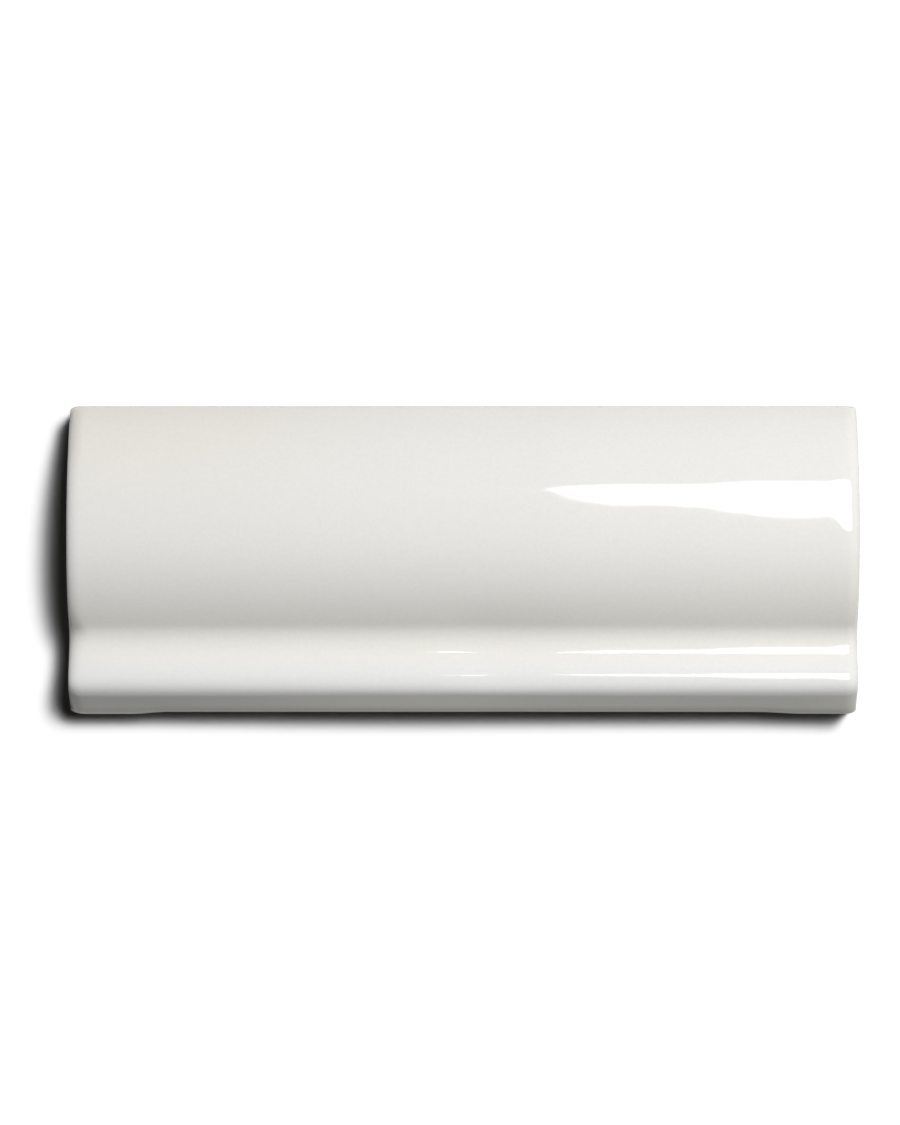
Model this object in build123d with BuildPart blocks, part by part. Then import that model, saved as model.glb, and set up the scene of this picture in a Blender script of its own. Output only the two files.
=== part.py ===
from build123d import *
import os
from math import asin, cos, degrees, radians, sin, tan

# Chair rail tile: one pressed and glazed ceramic moulding, solid, with a flat
# back. It lies on its back. +X runs along its length, +Y points to the edge
# that is uppermost on the wall, +Z points out of the wall. The origin is the
# middle of the back face.

# ---- driving dimensions, in mm and degrees ----
tile_length = 152.4  # 6 in, end to end
tile_height = 60.0  # upper edge to lower edge, nominally 2 3/8 in
crown_depth = 20.0  # back to the crown of the large roll

crown_from_upper_edge = 25.8  # where the roll stands highest
roll_upper_radius = 40.0  # roll from the upper edge to the crown
roll_lower_radius = 27.3  # roll from the crown down to the cove
flank_angle = 37.8  # steepest slope of the roll, where the cove begins
cove_radius = 5.65  # cove, roll side, down to its lowest line
lip_radius = 6.95  # cove, bead side, from its lowest line up
lip_angle = 34.0  # steepest slope between cove and bead
lip_flat = 0.866  # straight run between cove and bead
bead_upper_radius = 4.97  # bead, from the lip up to its top
bead_lower_radius = 3.2  # bead, from its top round to the skirt
skirt_angle = 55.8  # slope of the skirt below the bead

corner_radius = 1.2  # the four upright corners
rim_radius = 0.8  # all round the face, softened by the glaze

# ---- derived ----
half_height = tile_height / 2
upper_slope = degrees(asin(crown_from_upper_edge / roll_upper_radius))
upper_edge_depth = crown_depth - roll_upper_radius * (1 - cos(radians(upper_slope)))

with BuildPart() as tile:
    # The section, drawn once round from the back's upper corner.
    with BuildSketch(Plane.YZ) as section:
        with BuildLine() as outline:
            upper_edge = Line((half_height, 0), (half_height, upper_edge_depth))
            roll_upper = JernArc(
                upper_edge @ 1,
                (-cos(radians(upper_slope)), sin(radians(upper_slope))),
                roll_upper_radius,
                upper_slope,
            )
            roll_lower = JernArc(
                roll_upper @ 1, (-1, 0), roll_lower_radius, flank_angle
            )
            cove = JernArc(roll_lower @ 1, roll_lower % 1, cove_radius, -flank_angle)
            lip = JernArc(cove @ 1, (-1, 0), lip_radius, -lip_angle)
            lip_run = Line(lip @ 1, lip @ 1 + (lip % 1) * lip_flat)
            bead_upper = JernArc(lip_run @ 1, lip % 1, bead_upper_radius, lip_angle)
            bead_lower = JernArc(
                bead_upper @ 1, (-1, 0), bead_lower_radius, skirt_angle
            )
            skirt_start = bead_lower @ 1
            skirt_run = half_height + skirt_start.X
            lower_edge_depth = skirt_start.Y - skirt_run * tan(radians(skirt_angle))
            skirt = Line(skirt_start, (-half_height, lower_edge_depth))
            lower_edge = Line((-half_height, lower_edge_depth), (-half_height, 0))
            back = Line((-half_height, 0), (half_height, 0))
        make_face()
    extrude(amount=tile_length / 2, both=True)

    # The four upright corners, then the whole rim where the face turns over
    # into the edges and the ends.
    fillet(tile.edges().filter_by(Axis.Z), radius=corner_radius)
    sides = tile.faces().filter_by(Axis.Y) + tile.faces().filter_by(Axis.X)
    sides += tile.faces().filter_by(GeomType.CYLINDER).filter_by(
        lambda f: abs(f.normal_at().Z) < 1e-6
    )
    rim = []
    for side in sides:
        for edge in side.edges():
            on_back = abs(edge.center().Z) < 1e-4
            upright = edge.geom_type == GeomType.LINE and abs((edge % 0).Z) > 0.99
            if not on_back and not upright:
                rim.append(edge)
    fillet(rim, radius=rim_radius)

tile.part.label = "chair_rail_tile"
os.makedirs("parts", exist_ok=True)
export_step(tile.part, "parts/chair_rail_tile.step")
print("upper edge depth", round(upper_edge_depth, 3), "slope", round(upper_slope, 2))
print("crown", roll_upper @ 1, "cove", cove @ 1, "bead", bead_upper @ 1)
print("skirt start", skirt_start, "lower edge depth", round(lower_edge_depth, 3))
print("volume", tile.part.volume, tile.part.bounding_box())
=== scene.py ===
import math

import bpy
import numpy as np
from mathutils import Matrix, Vector
from mathutils.geometry import delaunay_2d_cdt


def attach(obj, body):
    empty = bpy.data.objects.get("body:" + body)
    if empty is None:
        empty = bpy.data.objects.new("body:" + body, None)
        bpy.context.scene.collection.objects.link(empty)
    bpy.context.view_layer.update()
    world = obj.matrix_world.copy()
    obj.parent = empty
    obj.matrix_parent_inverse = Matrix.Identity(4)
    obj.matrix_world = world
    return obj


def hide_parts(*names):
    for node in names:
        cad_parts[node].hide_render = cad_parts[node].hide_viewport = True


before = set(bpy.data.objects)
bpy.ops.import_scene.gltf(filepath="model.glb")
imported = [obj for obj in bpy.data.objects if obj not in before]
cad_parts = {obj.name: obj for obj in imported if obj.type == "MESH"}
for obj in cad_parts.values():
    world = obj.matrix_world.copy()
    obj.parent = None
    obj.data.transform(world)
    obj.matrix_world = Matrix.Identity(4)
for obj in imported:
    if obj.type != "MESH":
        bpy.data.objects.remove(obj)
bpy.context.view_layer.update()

MM = 0.001

# ---------------------------------------------------------------------------
# Section of the moulding, in mm. Tilt is the face's slope in degrees: +90
# faces the upper edge (+Y), 0 faces straight out (+Z), -90 the lower edge.
# ---------------------------------------------------------------------------
LENGTH = 152.4
HEIGHT = 60.0
UPPER_INSET = 0.14  # the glazed upper edge stands back this far
LOWER_INSET = 0.55  # so does the lower edge, between its two corners
CROWN = 20.0
CROWN_S = 25.8 - UPPER_INSET

ROLL_UP_R = 40.0
ROLL_DOWN_R = 27.3
FLANK = 37.8
COVE_R = 5.65
LIP_R = 6.95
LIP = 34.0
LIP_FLAT = 0.866
BEAD_UP_R = 4.97
BEAD_DOWN_R = 3.45
SKIRT = 57.0
SKIRT_END = 68.0  # the skirt rounds over gently to this slope, then turns the arris
SKIRT_END_R = 13.0
UPPER_ARRIS_R = 1.05
LOWER_ARRIS_R = 1.0
BACK_ARRIS_R = 0.45
SOFTEN = 0.50  # the glaze eases each change of curvature over about this length
SOFTEN_BEAD = 0.22  # and over this from the top of the bead down

# The glaze rounds each end of the face over this run (along X) and fall.
END_RUN = 2.4
END_FALL = 1.05

N_FACE = 190  # points across the face
N_EDGE = 14  # points down each long edge
N_BACK = 40  # points across the back
N_X = 196  # rows along the length, between the rims
N_RIM = 14  # rows round each rim

TOP = HEIGHT / 2 - UPPER_INSET
LOW = -HEIGHT / 2 + LOWER_INSET
HALF = LENGTH / 2


def rad(a):
    return math.radians(a)


def smoothstep(u):
    u = np.clip(u, 0.0, 1.0)
    return u * u * (3 - 2 * u)


def convex(p, r, t0, t1):
    return (
        p[0] + r * (math.sin(rad(t1)) - math.sin(rad(t0))),
        p[1] + r * (math.cos(rad(t1)) - math.cos(rad(t0))),
    )


def concave(p, r, t0, t1):
    return (
        p[0] + r * (math.sin(rad(t0)) - math.sin(rad(t1))),
        p[1] + r * (math.cos(rad(t0)) - math.cos(rad(t1))),
    )


def straight(p, length, t):
    return (p[0] - length * math.cos(rad(t)), p[1] + length * math.sin(rad(t)))


def face_segments():
    """The face from the upper edge to the lower edge: (kind, start, radius or length, tilt in, tilt out)."""
    # The roll above the crown meets the upper arris at this slope.
    run = CROWN_S - UPPER_ARRIS_R
    top = math.degrees(math.asin(run / (ROLL_UP_R - UPPER_ARRIS_R)))
    crown = (TOP - CROWN_S, CROWN)
    roll_start = (
        crown[0] + ROLL_UP_R * math.sin(rad(top)),
        crown[1] - ROLL_UP_R * (1 - math.cos(rad(top))),
    )
    p = (
        roll_start[0] + UPPER_ARRIS_R * (1 - math.sin(rad(top))),
        roll_start[1] - UPPER_ARRIS_R * math.cos(rad(top)),
    )
    segs = []
    for kind, size, t0, t1 in (
        ("convex", UPPER_ARRIS_R, 90.0, top),
        ("convex", ROLL_UP_R, top, 0.0),
        ("convex", ROLL_DOWN_R, 0.0, -FLANK),
        ("concave", COVE_R, -FLANK, 0.0),
        ("concave", LIP_R, 0.0, LIP),
        ("straight", LIP_FLAT, LIP, LIP),
        ("convex", BEAD_UP_R, LIP, 0.0),
        ("convex", BEAD_DOWN_R, 0.0, -SKIRT),
    ):
        segs.append((kind, p, size, t0, t1))
        if kind == "convex":
            p = convex(p, size, t0, t1)
        elif kind == "concave":
            p = concave(p, size, t0, t1)
        else:
            p = straight(p, size, t0)
    # The skirt runs down, rounds over and ends in the arris on the lower edge.
    end_run = SKIRT_END_R * (math.sin(rad(SKIRT_END)) - math.sin(rad(SKIRT)))
    arris_run = LOWER_ARRIS_R * (1 - math.sin(rad(SKIRT_END)))
    skirt_len = (p[0] - LOW - arris_run - end_run) / math.cos(rad(SKIRT))
    segs.append(("straight", p, skirt_len, -SKIRT, -SKIRT))
    p = straight(p, skirt_len, -SKIRT)
    segs.append(("convex", p, SKIRT_END_R, -SKIRT, -SKIRT_END))
    p = convex(p, SKIRT_END_R, -SKIRT, -SKIRT_END)
    segs.append(("convex", p, LOWER_ARRIS_R, -SKIRT_END, -90.0))
    return segs


def blurred(v, sigma, step):
    """A row of evenly spaced values, blurred; its ends are held."""
    half = int(4 * sigma / step) + 1
    kernel = np.exp(-0.5 * (np.arange(-half, half + 1) * step / sigma) ** 2)
    padded = np.concatenate([np.full(half, v[0]), v, np.full(half, v[-1])])
    return np.convolve(padded, kernel / kernel.sum(), mode="valid")


def sample_face(n):
    """n points along the face: y, z, tilt and the radius of an outward curve. Tight curves get more of them."""
    segs = face_segments()
    step = 0.01
    tilt = []
    for kind, _, size, t0, t1 in segs:
        length = size if kind == "straight" else size * abs(rad(t1 - t0))
        m = max(2, int(round(length / step)))
        tilt.append(t0 + (t1 - t0) * (np.arange(m) + 0.5) / m)
    tilt = np.concatenate(tilt)
    s = (np.arange(len(tilt)) + 0.5) * step
    total = len(tilt) * step
    soft = smoothstep((s - 2.2) / 2.0) * smoothstep((total - 2.4 - s) / 2.0)
    bead_top = sum(
        size if kind == "straight" else size * abs(rad(t1 - t0)) for kind, _, size, t0, t1 in segs[:7]
    )
    low = smoothstep((s - bead_top + 0.5) / 1.0)
    eased_tilt = blurred(tilt, SOFTEN, step) * (1 - low) + blurred(tilt, SOFTEN_BEAD, step) * low
    tilt = blurred(tilt, 0.10, step) * (1 - soft) + eased_tilt * soft
    start = segs[0][1]
    last = segs[-1]
    end = convex(last[1], last[2], last[3], last[4])
    y = start[0] - np.cumsum(np.cos(np.radians(tilt))) * step
    z = start[1] + np.cumsum(np.sin(np.radians(tilt))) * step
    y = y + (end[0] - y[-1]) * s / total
    z = z + (end[1] - z[-1]) * s / total
    bend = np.gradient(np.radians(tilt), step)
    radius = np.where(bend < -0.01, 1.0 / np.maximum(-bend, 0.01), 99.0)
    density = np.cumsum(1.2 + 0.20 * np.degrees(np.abs(bend)))
    at = np.interp(np.linspace(density[0], density[-1], n), density, s)
    return np.stack([np.interp(at, s, v) for v in (y, z, tilt, radius)], axis=-1)


# ---------------------------------------------------------------------------
# The closed section as a ring of points, with outward normals. Parts of the
# ring: 0 face, 1 long edges, 2 back arrises, 3 back.
# ---------------------------------------------------------------------------
face = sample_face(N_FACE)
ring = []  # y, z, normal y, normal z, part, radius
for y, z, t, r in face:
    ring.append((y, z, math.sin(rad(t)), math.cos(rad(t)), 0, r))
rb = BACK_ARRIS_R
z_low, z_top = face[-1, 1], face[0, 1]
for i in range(1, N_EDGE):
    ring.append((LOW, z_low + (rb - z_low) * i / N_EDGE, -1.0, 0.0, 1, 99.0))
for i in range(5):
    a = rad(90.0 * i / 4)
    ring.append((LOW + rb - rb * math.cos(a), rb - rb * math.sin(a), -math.cos(a), -math.sin(a), 2, rb))
for i in range(1, N_BACK):
    ring.append((LOW + rb + (TOP - LOW - 2 * rb) * i / N_BACK, 0.0, 0.0, -1.0, 3, 99.0))
for i in range(5):
    a = rad(90.0 * i / 4)
    ring.append((TOP - rb + rb * math.sin(a), rb - rb * math.cos(a), math.sin(a), -math.cos(a), 2, rb))
for i in range(1, N_EDGE):
    ring.append((TOP, rb + (z_top - rb) * i / N_EDGE, 1.0, 0.0, 1, 99.0))
ring = np.array(ring)
ry, rz, ny, nz, part, radius = ring.T
n_ring = len(ring)
upper = ry > 0


def eased(v, limit, passes=12):
    """A value round the ring with its steps eased, and held under a limit."""
    v = np.minimum(v, limit)
    for _ in range(passes):
        v = 0.25 * np.roll(v, 1) + 0.5 * v + 0.25 * np.roll(v, -1)
        v = np.minimum(v, limit)
    return v


def rim_shape(face_run, face_fall):
    """How far the rim at one end runs along X and falls in from the section, round the ring."""
    run = np.where(part == 0, face_run, END_RUN)
    fall = np.where(part == 0, face_fall, 0.32)
    limit_back = np.where(part >= 1, 0.32, 99.0)
    return eased(run, 99.0), eased(fall, np.minimum(0.75 * radius, limit_back))


# The left rim is fuller towards the upper corner, in the cove and on the skirt.
run_l, fall_l = rim_shape(
    END_RUN
    + 0.7 * smoothstep((ry - 14.0) / 10.0)
    + 1.8 * np.exp(-(((ry + 14.4) / 2.4) ** 2))
    + 0.4 * smoothstep((-24.5 - ry) / 2.0),
    END_FALL
    + 0.35 * smoothstep((ry - 16.0) / 8.0)
    + 1.1 * np.exp(-(((ry + 14.4) / 2.6) ** 2))
    + 0.12 * smoothstep((-25.0 - ry) / 1.5),
)
run_r, fall_r = rim_shape(END_RUN, END_FALL)

# ---------------------------------------------------------------------------
# Rows along the length: the left rim, the body, the right rim.
# ---------------------------------------------------------------------------
angles = [math.pi / 2 * (1 - i / N_RIM) for i in range(N_RIM)]
rows_x, rows_in = [], []
for a in angles:
    rows_x.append(-HALF + run_l * (1 - math.sin(a)))
    rows_in.append(fall_l * (1 - math.cos(a)))
for u in np.linspace(0.0, 1.0, N_X):
    rows_x.append((-HALF + run_l) * (1 - u) + (HALF - run_r) * u)
    rows_in.append(np.zeros(n_ring))
for a in reversed(angles):
    rows_x.append(HALF - run_r * (1 - math.sin(a)))
    rows_in.append(fall_r * (1 - math.cos(a)))
gx = np.array(rows_x)
inward = np.array(rows_in)

gy = np.broadcast_to(ry, gx.shape)

# The lower edge bows: it comes forward to its full height near both corners.
# The four corners are rounded off as seen from the front. The skirt's slope
# changes a little along the length.
def corner(out, run, depth):
    """How far an edge stands back near a corner; out is the distance along X towards that end."""
    u = np.clip((out - HALF + run) / run, 0.0, 1.0)
    return depth * (1 - np.sqrt(1 - u * u))


segs = face_segments()
skirt_y, skirt_z = segs[8][1]
skirt_run = skirt_y - LOW
skirt_drop = skirt_z - face[-1, 1]
bow = np.maximum(
    (LOWER_INSET - 0.12) * smoothstep((-57.0 - gx) / 7.5),
    0.36 * smoothstep((gx - 57.0) / 9.0),
)
bow = bow - corner(-gx, 3.2, 0.62) - corner(gx, 1.6, 0.48)
nip = corner(-gx, 1.4, 0.7) + corner(gx, 0.8, 0.3)
slope_x = [-76.2, -67.6, -60.0, -50.0, -41.0, -31.0, -21.5, -12.0, -2.0, 7.5, 17.0, 26.7, 36.0, 46.0, 55.5, 65.0, 71.0, 76.2]
slope_t = [59.4, 59.4, 59.3, 57.6, 56.9, 55.1, 54.2, 53.6, 53.5, 54.4, 55.2, 55.6, 55.8, 56.4, 56.5, 56.3, 54.8, 52.6]
slope = np.interp(gx, slope_x, slope_t)
stretch = (skirt_run + bow) * np.tan(np.radians(slope)) / (skirt_run * math.tan(rad(SKIRT)))
down = np.clip((skirt_y - ry) / skirt_run, 0.0, 1.0)
edge_top = skirt_z - skirt_drop * stretch
bow_y = np.where(part == 0, down, 0.0)
bow_y = np.where((part == 1) & ~upper, 1.0, bow_y)
bow_y = np.where(part >= 2, smoothstep((LOW + 14.0 - ry) / 14.0), bow_y)
nip_y = np.where(part == 0, smoothstep((ry - TOP + 6.0) / 6.0), 0.0)
nip_y = np.where((part == 1) & upper, 1.0, nip_y)
nip_y = np.where(part >= 2, smoothstep((ry - TOP + 14.0) / 14.0), nip_y)
new_z = np.where(
    (part == 0) & (down > 0),
    skirt_z - (skirt_z - rz) * stretch,
    rz,
)
new_z = np.where((part == 1) & ~upper, rb + (rz - rb) * (edge_top - rb) / (face[-1, 1] - rb), new_z)

# The glazed face isn't perfectly true. Its slope along the length wanders by
# less than a degree, which shows only in reflections: gently on the roll, with
# one sharper ripple across the bead left of the middle.
fine_x = np.arange(-HALF - 4.0, HALF + 4.0, 0.05)
roll_x = [-76, -62, -46, -30, -17, -7, 3, 9, 14.5, 17, 19.5, 24, 29, 32, 35.4, 38, 41, 44, 46.6, 49.8, 52.6, 56, 61, 66, 69, 70.5, 71.6, 72.4, 73.1, 73.8]
roll_s = [0, 3, -3, 3, -2, 2, -5, -13, -17, -9, 1.5, 5.5, 6.5, 3.5, -0.5, -4.5, -6, -8, -11.5, -3.5, -3, -1, -2.5, -8.5, -14, -17, -11, -2, 8, 11]
bead_x = [-16, -10, -6, -3, 0, 2.5, 5, 9, 20, 26, 34, 44, 56]
bead_s = [0, 0, 6, 15, 14.5, 8, -2, -7, -12, -11, -8, -4, 0]
roll_slope = blurred(np.interp(fine_x, roll_x, roll_s), 0.65, 0.05) * 0.001 + 0.0021  # both ends equally high
bead_slope = blurred(np.interp(fine_x, bead_x, bead_s), 0.9, 0.05) * 0.001 + 0.0017
roll_h = -np.cumsum(roll_slope) * 0.05
bead_h = -np.cumsum(bead_slope) * 0.05
on_face = np.where(part == 0, smoothstep((TOP - 0.2 - ry) / 3.0), 0.0)
on_face = np.where((part == 1) & ~upper, np.clip(rz / z_low, 0.0, 1.0), on_face)
on_bead = smoothstep((-6.0 - gy) / 10.0)
lean = 0.64 * (gy + 17.9) * smoothstep((-14.0 - gy) / 4.0)  # the ripple runs slightly askew
wave = np.interp(gx, fine_x, roll_h) + on_bead * np.interp(gx + lean, fine_x, bead_h)
rng = np.random.default_rng(41)
for _ in range(14):
    lx, ly = rng.uniform(9.0, 34.0), rng.uniform(16.0, 60.0)
    wave = wave + 0.0012 * math.sqrt(lx / 9.0) * np.sin(
        2 * math.pi * (gx / lx + gy / ly) + rng.uniform(0.0, 2 * math.pi)
    )
wave = (wave - wave[:, part == 0].mean()) * on_face
wave = wave * (1 - 0.85 * smoothstep((-22.9 - gy) / 3.2))  # it dies out below the bead

px = gx
py = ry - ny * (inward - wave) - bow_y * bow - nip_y * nip
pz = new_z - nz * (inward - wave)
pz = pz * ((CROWN - 0.002) / pz.max())
grid = np.stack([px, py, pz], axis=-1)
n_rows = grid.shape[0]
co = [tuple(v) for v in (grid.reshape(-1, 3) * MM)]

r_idx = np.arange(n_rows - 1)[:, None] * n_ring
k = np.arange(n_ring)[None, :]
k2 = (k + 1) % n_ring
quads = np.stack([r_idx + k, r_idx + n_ring + k, r_idx + n_ring + k2, r_idx + k2], axis=-1).reshape(-1, 4)
faces = [tuple(int(i) for i in q) for q in quads]


def inside(poly, p):
    """True where the point is inside the polygon."""
    x, y = p
    hit = False
    j = len(poly) - 1
    for i in range(len(poly)):
        xi, yi = poly[i]
        xj, yj = poly[j]
        if (yi > y) != (yj > y) and x < (xj - xi) * (y - yi) / (yj - yi) + xi:
            hit = not hit
        j = i
    return hit


def close_end(row, x_at, flip):
    """Fills one end with well-shaped triangles."""
    rim_pts = grid[row, :, 1:]
    poly = [tuple(p) for p in rim_pts]
    gap = 1.7
    extra = []
    iy = 0
    y = LOW
    while y < TOP:
        z = 0.4 + (0.5 * gap if iy % 2 else 0.0)
        while z < CROWN:
            d2 = ((rim_pts - np.array([y, z])) ** 2).sum(1).min()
            if d2 > 0.85**2 and inside(poly, (y, z)):
                extra.append((y, z))
            z += gap
        y += gap * 0.87
        iy += 1
    pts2 = [Vector(p) for p in poly] + [Vector(p) for p in extra]
    edges = [(i, (i + 1) % n_ring) for i in range(n_ring)]
    out_v, _, out_f, orig_v, _, _ = delaunay_2d_cdt(pts2, edges, [], 1, 1e-7)
    ids = []
    for v, orig in zip(out_v, orig_v):
        on_rim = [o for o in orig if o < n_ring]
        if on_rim:
            ids.append(row * n_ring + on_rim[0])
        else:
            ids.append(len(co))
            co.append((x_at * MM, v[0] * MM, v[1] * MM))
    for f in out_f:
        tri = [ids[i] for i in f]
        a, b, c = (co[i] for i in tri)
        area = (b[1] - a[1]) * (c[2] - a[2]) - (b[2] - a[2]) * (c[1] - a[1])
        if (area > 0) == flip:  # counter-clockwise in (y, z) faces +X
            tri.reverse()
        faces.append(tuple(tri))


n_smooth = len(faces)
close_end(0, -HALF, True)
close_end(n_rows - 1, HALF, False)

mesh = bpy.data.meshes.new("chair_rail_tile_glazed")
mesh.from_pydata(co, [], faces)
mesh.validate()
mesh.polygons.foreach_set("use_smooth", [i < n_smooth for i in range(len(mesh.polygons))])
tile = bpy.data.objects.new("chair_rail_tile_glazed", mesh)
bpy.context.scene.collection.objects.link(tile)
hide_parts("chair_rail_tile")
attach(tile, "root")


# ---------------------------------------------------------------------------
# Materials
# ---------------------------------------------------------------------------
class Nodes:
    """Small helpers for building a node tree."""

    def __init__(self, name):
        self.mat = bpy.data.materials.new(name)
        self.mat.use_nodes = True
        self.tree = self.mat.node_tree
        self.tree.nodes.clear()
        self.out = self.add("ShaderNodeOutputMaterial")
        self.bsdf = self.add("ShaderNodeBsdfPrincipled")
        self.link(self.bsdf.outputs["BSDF"], self.out.inputs["Surface"])

    def add(self, kind, **props):
        node = self.tree.nodes.new(kind)
        for key, value in props.items():
            setattr(node, key, value)
        return node

    def link(self, a, b):
        self.tree.links.new(a, b)

    def put(self, socket, value):
        if isinstance(value, bpy.types.NodeSocket):
            self.link(value, socket)
        else:
            socket.default_value = value

    def math(self, op, a, b=0.0, c=None):
        node = self.add("ShaderNodeMath", operation=op)
        self.put(node.inputs[0], a)
        self.put(node.inputs[1], b)
        if c is not None:
            self.put(node.inputs[2], c)
        return node.outputs[0]

    def ramp(self, value, lo, hi, to_lo=0.0, to_hi=1.0):
        node = self.add("ShaderNodeMapRange", interpolation_type="SMOOTHSTEP")
        for socket, v in zip(node.inputs, (value, lo, hi, to_lo, to_hi)):
            self.put(socket, v)
        return node.outputs[0]

    def mix(self, factor, a, b):
        node = self.add("ShaderNodeMix", data_type="RGBA")
        self.put(node.inputs[0], factor)
        self.put(node.inputs[6], a)
        self.put(node.inputs[7], b)
        return node.outputs[2]

    def noise(self, vector, scale, detail=2.0, rough=0.5):
        node = self.add("ShaderNodeTexNoise")
        self.link(vector, node.inputs["Vector"])
        node.inputs["Scale"].default_value = scale
        node.inputs["Detail"].default_value = detail
        node.inputs["Roughness"].default_value = rough
        return node.outputs[0]


g = Nodes("glaze")
coord = g.add("ShaderNodeTexCoord")
to_mm = g.add("ShaderNodeVectorMath", operation="SCALE")
g.link(coord.outputs["Object"], to_mm.inputs[0])
to_mm.inputs["Scale"].default_value = 1000.0
mm = to_mm.outputs[0]
split = g.add("ShaderNodeSeparateXYZ")
g.link(mm, split.inputs[0])
X, Y, Z = split.outputs

# The glaze runs down the edges and ends to an uneven line above the back;
# below it, and on the back, the fired body is bare.
drip = g.noise(mm, 0.085, 3.0, 0.55)
line = g.math("MULTIPLY_ADD", drip, 2.2, 1.2)
over_line = g.math("SUBTRACT", Z, line)
glazed = g.ramp(over_line, -0.08, 0.10)
thick = g.ramp(over_line, 0.0, 2.2)

# Glaze colour: off-white. Its tint changes across the section: warmer in the cove and down
# the skirt, cooler over the bead, and warm towards the upper left.
cloud = g.noise(mm, 0.020, 2.0, 0.5)
warm_x = g.ramp(X, 10.0, -70.0)
warm_y = g.ramp(Y, 2.0, 28.0)
warm = g.math("MULTIPLY", warm_x, warm_y)
warm = g.math("MULTIPLY_ADD", cloud, 0.5, g.math("MULTIPLY", warm, 0.80))
warm = g.math("SUBTRACT", warm, 0.25)
across = g.add("ShaderNodeValToRGB")
g.link(g.math("MULTIPLY_ADD", Y, 1 / 60.0, 0.5), across.inputs["Fac"])
stops = [
    (-28.0, (0.786, 0.777, 0.715)),  # skirt
    (-25.0, (0.768, 0.765, 0.755)),  # bead, below its top
    (-20.5, (0.770, 0.769, 0.751)),  # bead
    (-17.5, (0.787, 0.773, 0.727)),  # lip
    (-9.0, (0.784, 0.770, 0.732)),  # flank
    (4.0, (0.778, 0.769, 0.740)),  # crown
]
while len(across.color_ramp.elements) < len(stops):
    across.color_ramp.elements.new(0.5)
for element, (at, colour) in zip(across.color_ramp.elements, stops):
    element.position = at / 60.0 + 0.5
for element, (at, colour) in zip(across.color_ramp.elements, stops):
    element.color = (*colour, 1)
body_tint = g.mix(g.ramp(warm, 0.0, 1.0), across.outputs["Color"], (0.789, 0.764, 0.702, 1))
fleck = g.noise(mm, 1.4, 3.0, 0.6)
fleck_dark = g.ramp(fleck, 0.36, 0.62, 0.985, 1.008)
tint = g.add("ShaderNodeVectorMath", operation="SCALE")
g.link(body_tint, tint.inputs[0])
g.link(fleck_dark, tint.inputs["Scale"])
thin_col = g.mix(thick, (0.70, 0.655, 0.575, 1), tint.outputs[0])

# Fired body: pale buff, matt, finely granular.
grit = g.noise(mm, 3.2, 4.0, 0.65)
blotch = g.noise(mm, 0.11, 2.0, 0.5)
clay = g.mix(g.ramp(grit, 0.30, 0.72), (0.60, 0.53, 0.44, 1), (0.74, 0.675, 0.585, 1))
clay = g.mix(g.math("MULTIPLY", blotch, 0.45), clay, (0.70, 0.65, 0.57, 1))
g.link(g.mix(glazed, clay, thin_col), g.bsdf.inputs["Base Color"])

smear = g.noise(mm, 0.30, 3.0, 0.6)
gloss = g.ramp(smear, 0.25, 0.75, 0.045, 0.070)
rough = g.math("MULTIPLY_ADD", g.math("SUBTRACT", gloss, 0.82), glazed, 0.82)
g.link(rough, g.bsdf.inputs["Roughness"])

# Relief, in mm: the glaze's faint orange peel, its lip along the line, and the
# grain of the bare body.
peel = g.math("MULTIPLY", g.noise(mm, 0.22, 2.0, 0.45), 0.0018)
lip_h = g.math("MULTIPLY", g.ramp(over_line, -0.15, 0.45), 0.10)
grain = g.math("MULTIPLY", grit, 0.055)
grain = g.math("MULTIPLY", grain, g.math("SUBTRACT", 1.0, glazed))
height = g.math("ADD", g.math("ADD", peel, lip_h), grain)
bump = g.add("ShaderNodeBump")
bump.inputs["Strength"].default_value = 1.0
bump.inputs["Distance"].default_value = 0.001
g.link(height, bump.inputs["Height"])
g.link(bump.outputs["Normal"], g.bsdf.inputs["Normal"])
g.bsdf.inputs["IOR"].default_value = 1.5
mesh.materials.append(g.mat)

# ---------------------------------------------------------------------------
# Floor
# ---------------------------------------------------------------------------
floor_mesh = bpy.data.meshes.new("floor")
S = 15.0
floor_mesh.from_pydata([(-S, -S, 0), (S, -S, 0), (S, S, 0), (-S, S, 0)], [], [(0, 1, 2, 3)])
floor = bpy.data.objects.new("floor", floor_mesh)
bpy.context.scene.collection.objects.link(floor)
floor.visible_diffuse = False
FLOOR_TONE = 0.12
f = Nodes("floor")
f.bsdf.inputs["Base Color"].default_value = (FLOOR_TONE, FLOOR_TONE, FLOOR_TONE, 1)
f.bsdf.inputs["Roughness"].default_value = 1.0
f.bsdf.inputs["Specular IOR Level"].default_value = 0.0
floor_mesh.materials.append(f.mat)

# ---------------------------------------------------------------------------
# Light, world, camera
# ---------------------------------------------------------------------------
world = bpy.data.worlds.new("world")
bpy.context.scene.world = world
world.use_nodes = True
world.node_tree.nodes["Background"].inputs["Color"].default_value = (1, 1, 1, 1)
world.node_tree.nodes["Background"].inputs["Strength"].default_value = 0.024


def aimed(loc, spin=0.0):
    """Placed at loc, facing the origin, turned about its own axis."""
    back = loc.normalized()
    side = Vector((1, 0, 0)) - back * back.x
    side.normalize()
    up = back.cross(side)
    s2 = side * math.cos(spin) + up * math.sin(spin)
    u2 = back.cross(s2)
    return Matrix.Translation(loc) @ Matrix(
        ((s2.x, u2.x, back.x), (s2.y, u2.y, back.y), (s2.z, u2.z, back.z))
    ).to_4x4()


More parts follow.
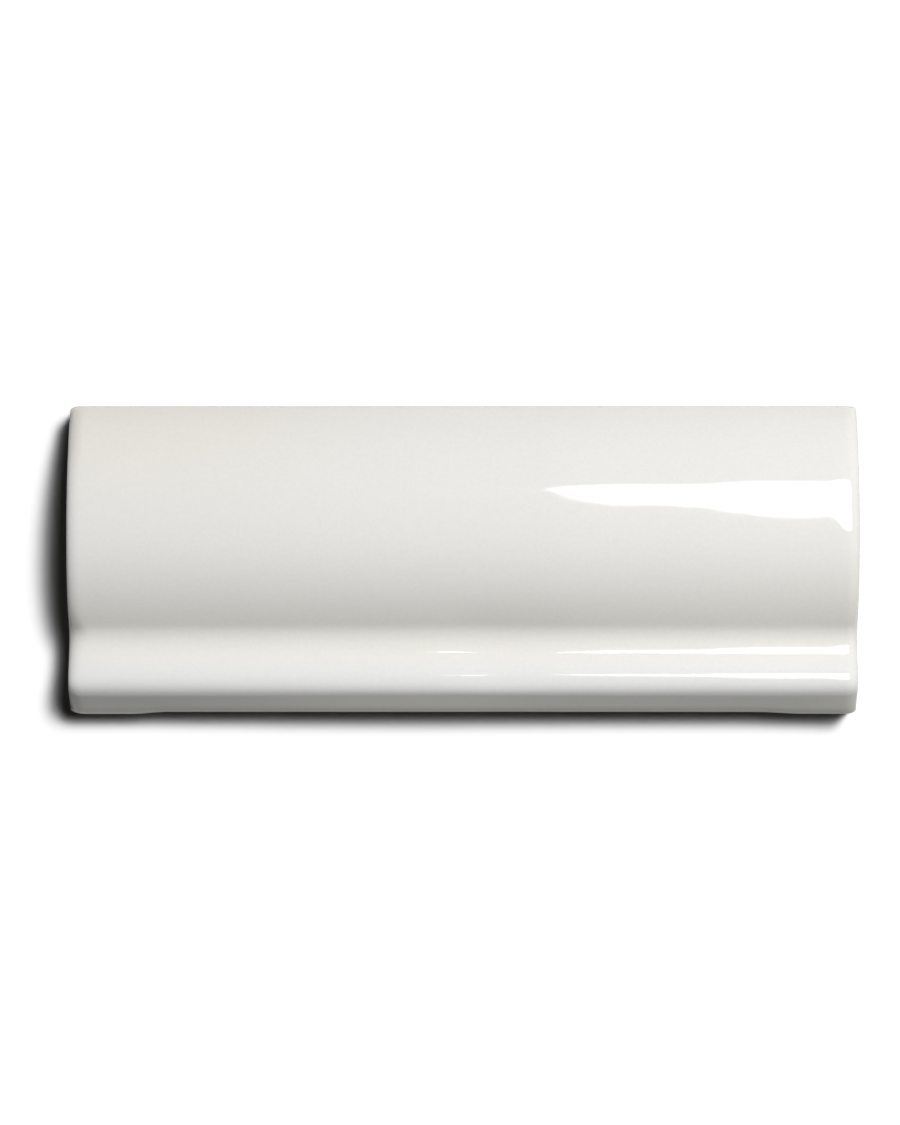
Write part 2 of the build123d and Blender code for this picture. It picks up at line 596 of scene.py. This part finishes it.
def softbox(name, direction, height, width, depth, irradiance, receivers):
    """A rectangular soft light above the tile. Its sizes are angles, as tangents, and its strength is what reaches the floor."""
    loc = Vector((direction[0], direction[1], 1.0)) * height
    dist = loc.length
    light = bpy.data.lights.new(name, "AREA")
    light.shape = "RECTANGLE"
    light.size = width * dist
    light.size_y = depth * dist
    light.energy = irradiance * math.pi * dist**3 / height
    obj = bpy.data.objects.new(name, light)
    bpy.context.scene.collection.objects.link(obj)
    obj.matrix_world = aimed(loc, rad(8.0))
    obj.visible_glossy = False
    group = bpy.data.collections.new(name + "_lights")
    for r in receivers:
        group.objects.link(r)
    obj.light_linking.receiver_collection = group
    return obj


softbox("key", (0.3788, 0.3457), 1.0173, 0.24, 0.30, 3.2023, [tile])

# The white floor throws light back up at the tile's sides, less where it is in
# the tile's own shadow.
only_tile = bpy.data.collections.new("side_fill")
only_tile.objects.link(tile)
for name, direction, strength in (
    ("fill_upper", (0.0, 0.34, -0.94), 2.5),
    ("fill_right", (0.34, 0.0, -0.94), 2.5),
    ("fill_lower", (0.0, -0.34, -0.94), 1.8),
    ("fill_left", (-0.34, 0.0, -0.94), 1.8),
):
    light = bpy.data.lights.new(name, "SUN")
    light.angle = rad(6.0)
    light.energy = strength
    obj = bpy.data.objects.new(name, light)
    bpy.context.scene.collection.objects.link(obj)
    obj.matrix_world = aimed(Vector(direction))
    obj.visible_glossy = False
    obj.light_linking.receiver_collection = only_tile
    obj.light_linking.blocker_collection = only_tile

# The same soft light as the floor sees it: brightest in the middle and fading
# outwards, from three nested ovals, so that the shadow's edge is gradual.
LAMP_H = 12.0
LAMP_AT = (0.3563, 0.3550)
for i, (reach, share) in enumerate(((1.0, 0.21), (1.8, 0.45), (2.8, 0.34))):
    light = bpy.data.lights.new("floor_key_%d" % i, "AREA")
    light.shape = "ELLIPSE"
    light.size = 2 * reach * 0.0775 * LAMP_H
    light.size_y = 2 * reach * 0.1122 * LAMP_H
    spread = 1 + LAMP_AT[0] ** 2 + LAMP_AT[1] ** 2
    light.energy = share * 1.05 * math.pi / FLOOR_TONE * math.pi * LAMP_H**2 * spread**2
    obj = bpy.data.objects.new("floor_key_%d" % i, light)
    bpy.context.scene.collection.objects.link(obj)
    obj.matrix_world = Matrix.Translation((LAMP_AT[0] * LAMP_H, LAMP_AT[1] * LAMP_H, LAMP_H)) @ Matrix.Rotation(
        rad(-13.1), 4, "Z"
    )
    obj.visible_glossy = False
    group = bpy.data.collections.new("floor_key_%d_lights" % i)
    group.objects.link(floor)
    obj.light_linking.receiver_collection = group

# The bright panel that the glaze mirrors, level with the key light: seen only
# in reflections.
panel_mesh = bpy.data.meshes.new("panel")
corners = [
    (0.0107, 0.482),
    (0.1537, 0.092),
    (0.1757, 0.074),
    (0.4337, 0.084),
    (0.4837, 0.130),
    (0.4837, 0.535),
    (0.4437, 0.578),
    (0.1687, 0.604),
    (0.1437, 0.592),
]
panel_mesh.from_pydata([(x, y, 0.900) for x, y in corners], [], [tuple(range(len(corners)))])
panel = bpy.data.objects.new("panel", panel_mesh)
bpy.context.scene.collection.objects.link(panel)
panel.visible_camera = False
panel.visible_diffuse = False
panel.visible_transmission = False
panel.visible_shadow = False
pm = bpy.data.materials.new("panel")
pm.use_nodes = True
pm.node_tree.nodes.clear()
p_out = pm.node_tree.nodes.new("ShaderNodeOutputMaterial")
p_em = pm.node_tree.nodes.new("ShaderNodeEmission")
p_em.inputs["Strength"].default_value = 8.5
pm.node_tree.links.new(p_em.outputs[0], p_out.inputs["Surface"])
panel_mesh.materials.append(pm)

# A grey flag on the floor left of the skirt: it too is seen only in reflections,
# and keeps the white floor out of the rim there.
flag_mesh = bpy.data.meshes.new("flag")
flag_mesh.from_pydata(
    [(-0.088, -0.035, 0.00004), (-0.077, -0.035, 0.00004), (-0.077, -0.019, 0.00004), (-0.088, -0.019, 0.00004)],
    [],
    [(0, 1, 2, 3)],
)
flag = bpy.data.objects.new("flag", flag_mesh)
bpy.context.scene.collection.objects.link(flag)
flag.visible_camera = False
flag.visible_diffuse = False
flag.visible_transmission = False
flag.visible_shadow = False
fm = Nodes("flag")
fm.bsdf.inputs["Base Color"].default_value = (0.01, 0.01, 0.01, 1)
fm.bsdf.inputs["Roughness"].default_value = 1.0
fm.bsdf.inputs["Specular IOR Level"].default_value = 0.0
fm.bsdf.inputs["Emission Color"].default_value = (1, 1, 1, 1)
fm.bsdf.inputs["Emission Strength"].default_value = 0.35
flag_mesh.materials.append(fm.mat)

cam_data = bpy.data.cameras.new("camera")
cam_data.sensor_width = 36.0
cam_data.lens = 158.476
cam = bpy.data.objects.new("camera", cam_data)
bpy.context.scene.collection.objects.link(cam)
eye = Vector((0.00045, 0.00029, 0.970))
aim = Vector((-0.00255, -0.00046, 0.0))
cam_back = (eye - aim).normalized()
cam_side = Vector((0, 1, 0)).cross(cam_back).normalized()
cam_up = cam_back.cross(cam_side)
cam.matrix_world = Matrix.Translation(eye) @ Matrix(
    (
        (cam_side.x, cam_up.x, cam_back.x),
        (cam_side.y, cam_up.y, cam_back.y),
        (cam_side.z, cam_up.z, cam_back.z),
    )
).to_4x4()
bpy.context.scene.camera = cam

bpy.context.scene.view_settings.view_transform = "Standard"
bpy.context.scene.view_settings.look = "None"
